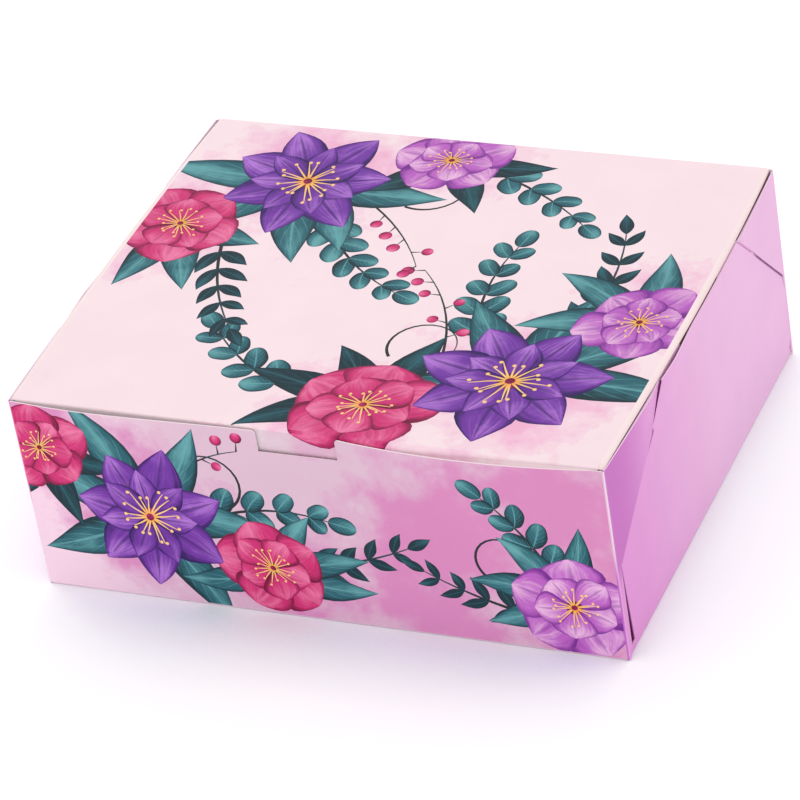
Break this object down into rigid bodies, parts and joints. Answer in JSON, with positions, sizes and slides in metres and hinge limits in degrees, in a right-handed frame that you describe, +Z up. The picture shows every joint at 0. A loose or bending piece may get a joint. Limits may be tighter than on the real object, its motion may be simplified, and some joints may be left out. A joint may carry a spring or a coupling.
{
  "type": "gift carton",
  "caption": "Folding boxboard gift carton with a floral printed tuck lid, plain lilac sides, slit-locked corner ears and a thumb notch in the front.",
  "frame": {"origin": "middle of the box's outline on the table, under the base", "axes": "+X to the right along the front wall, +Y to the back, where the lid is hinged, +Z up"},
  "size_m": [0.3, 0.25, 0.11],
  "materials": {
    "printed_board": "satin",
    "lilac_board": "satin",
    "pale_board": "satin",
    "white_board": "matte"
  },
  "bodies": {
    "tray": {"base_panel": "white_board", "front_wall": "printed_board", "back_wall": "lilac_board", "right_wall": "lilac_board", "left_wall": "lilac_board", "front_right_ear": "lilac_board", "front_left_ear": "lilac_board", "back_right_ear": "lilac_board", "back_left_ear": "lilac_board", "front_base_crease": "printed_board", "back_base_crease": "lilac_board", "right_base_crease": "lilac_board", "left_base_crease": "lilac_board", "front_right_crease": "lilac_board", "front_left_crease": "lilac_board", "back_right_crease": "lilac_board", "back_left_crease": "lilac_board"},
    "lid": {"lid_panel": "printed_board", "lid_crease": "lilac_board", "tuck_flap_crease": "printed_board", "right_flap_crease": "pale_board", "left_flap_crease": "pale_board"},
    "tuck_flap": {"tuck_flap": "printed_board"},
    "right_flap": {"right_flap": "pale_board"},
    "left_flap": {"left_flap": "pale_board"}
  },
  "joints": [
    {"name": "lid_hinge", "type": "hinge", "parent": "tray", "child": "lid", "pos_m": [0, 0.1247, 0.1097], "axis": [-1, 0, 0], "range_deg": [0, 180]},
    {"name": "tuck_flap_fold", "type": "hinge", "parent": "lid", "child": "tuck_flap", "pos_m": [0, -0.1224, 0.1088], "axis": [1, 0, 0], "range_deg": [0, 80]},
    {"name": "right_flap_fold", "type": "hinge", "parent": "lid", "child": "right_flap", "pos_m": [0.1447, 0, 0.1074], "axis": [0, 1, 0], "range_deg": [0, 80]},
    {"name": "left_flap_fold", "type": "hinge", "parent": "lid", "child": "left_flap", "pos_m": [-0.1447, 0, 0.1074], "axis": [0, -1, 0], "range_deg": [0, 80]}
  ]
}
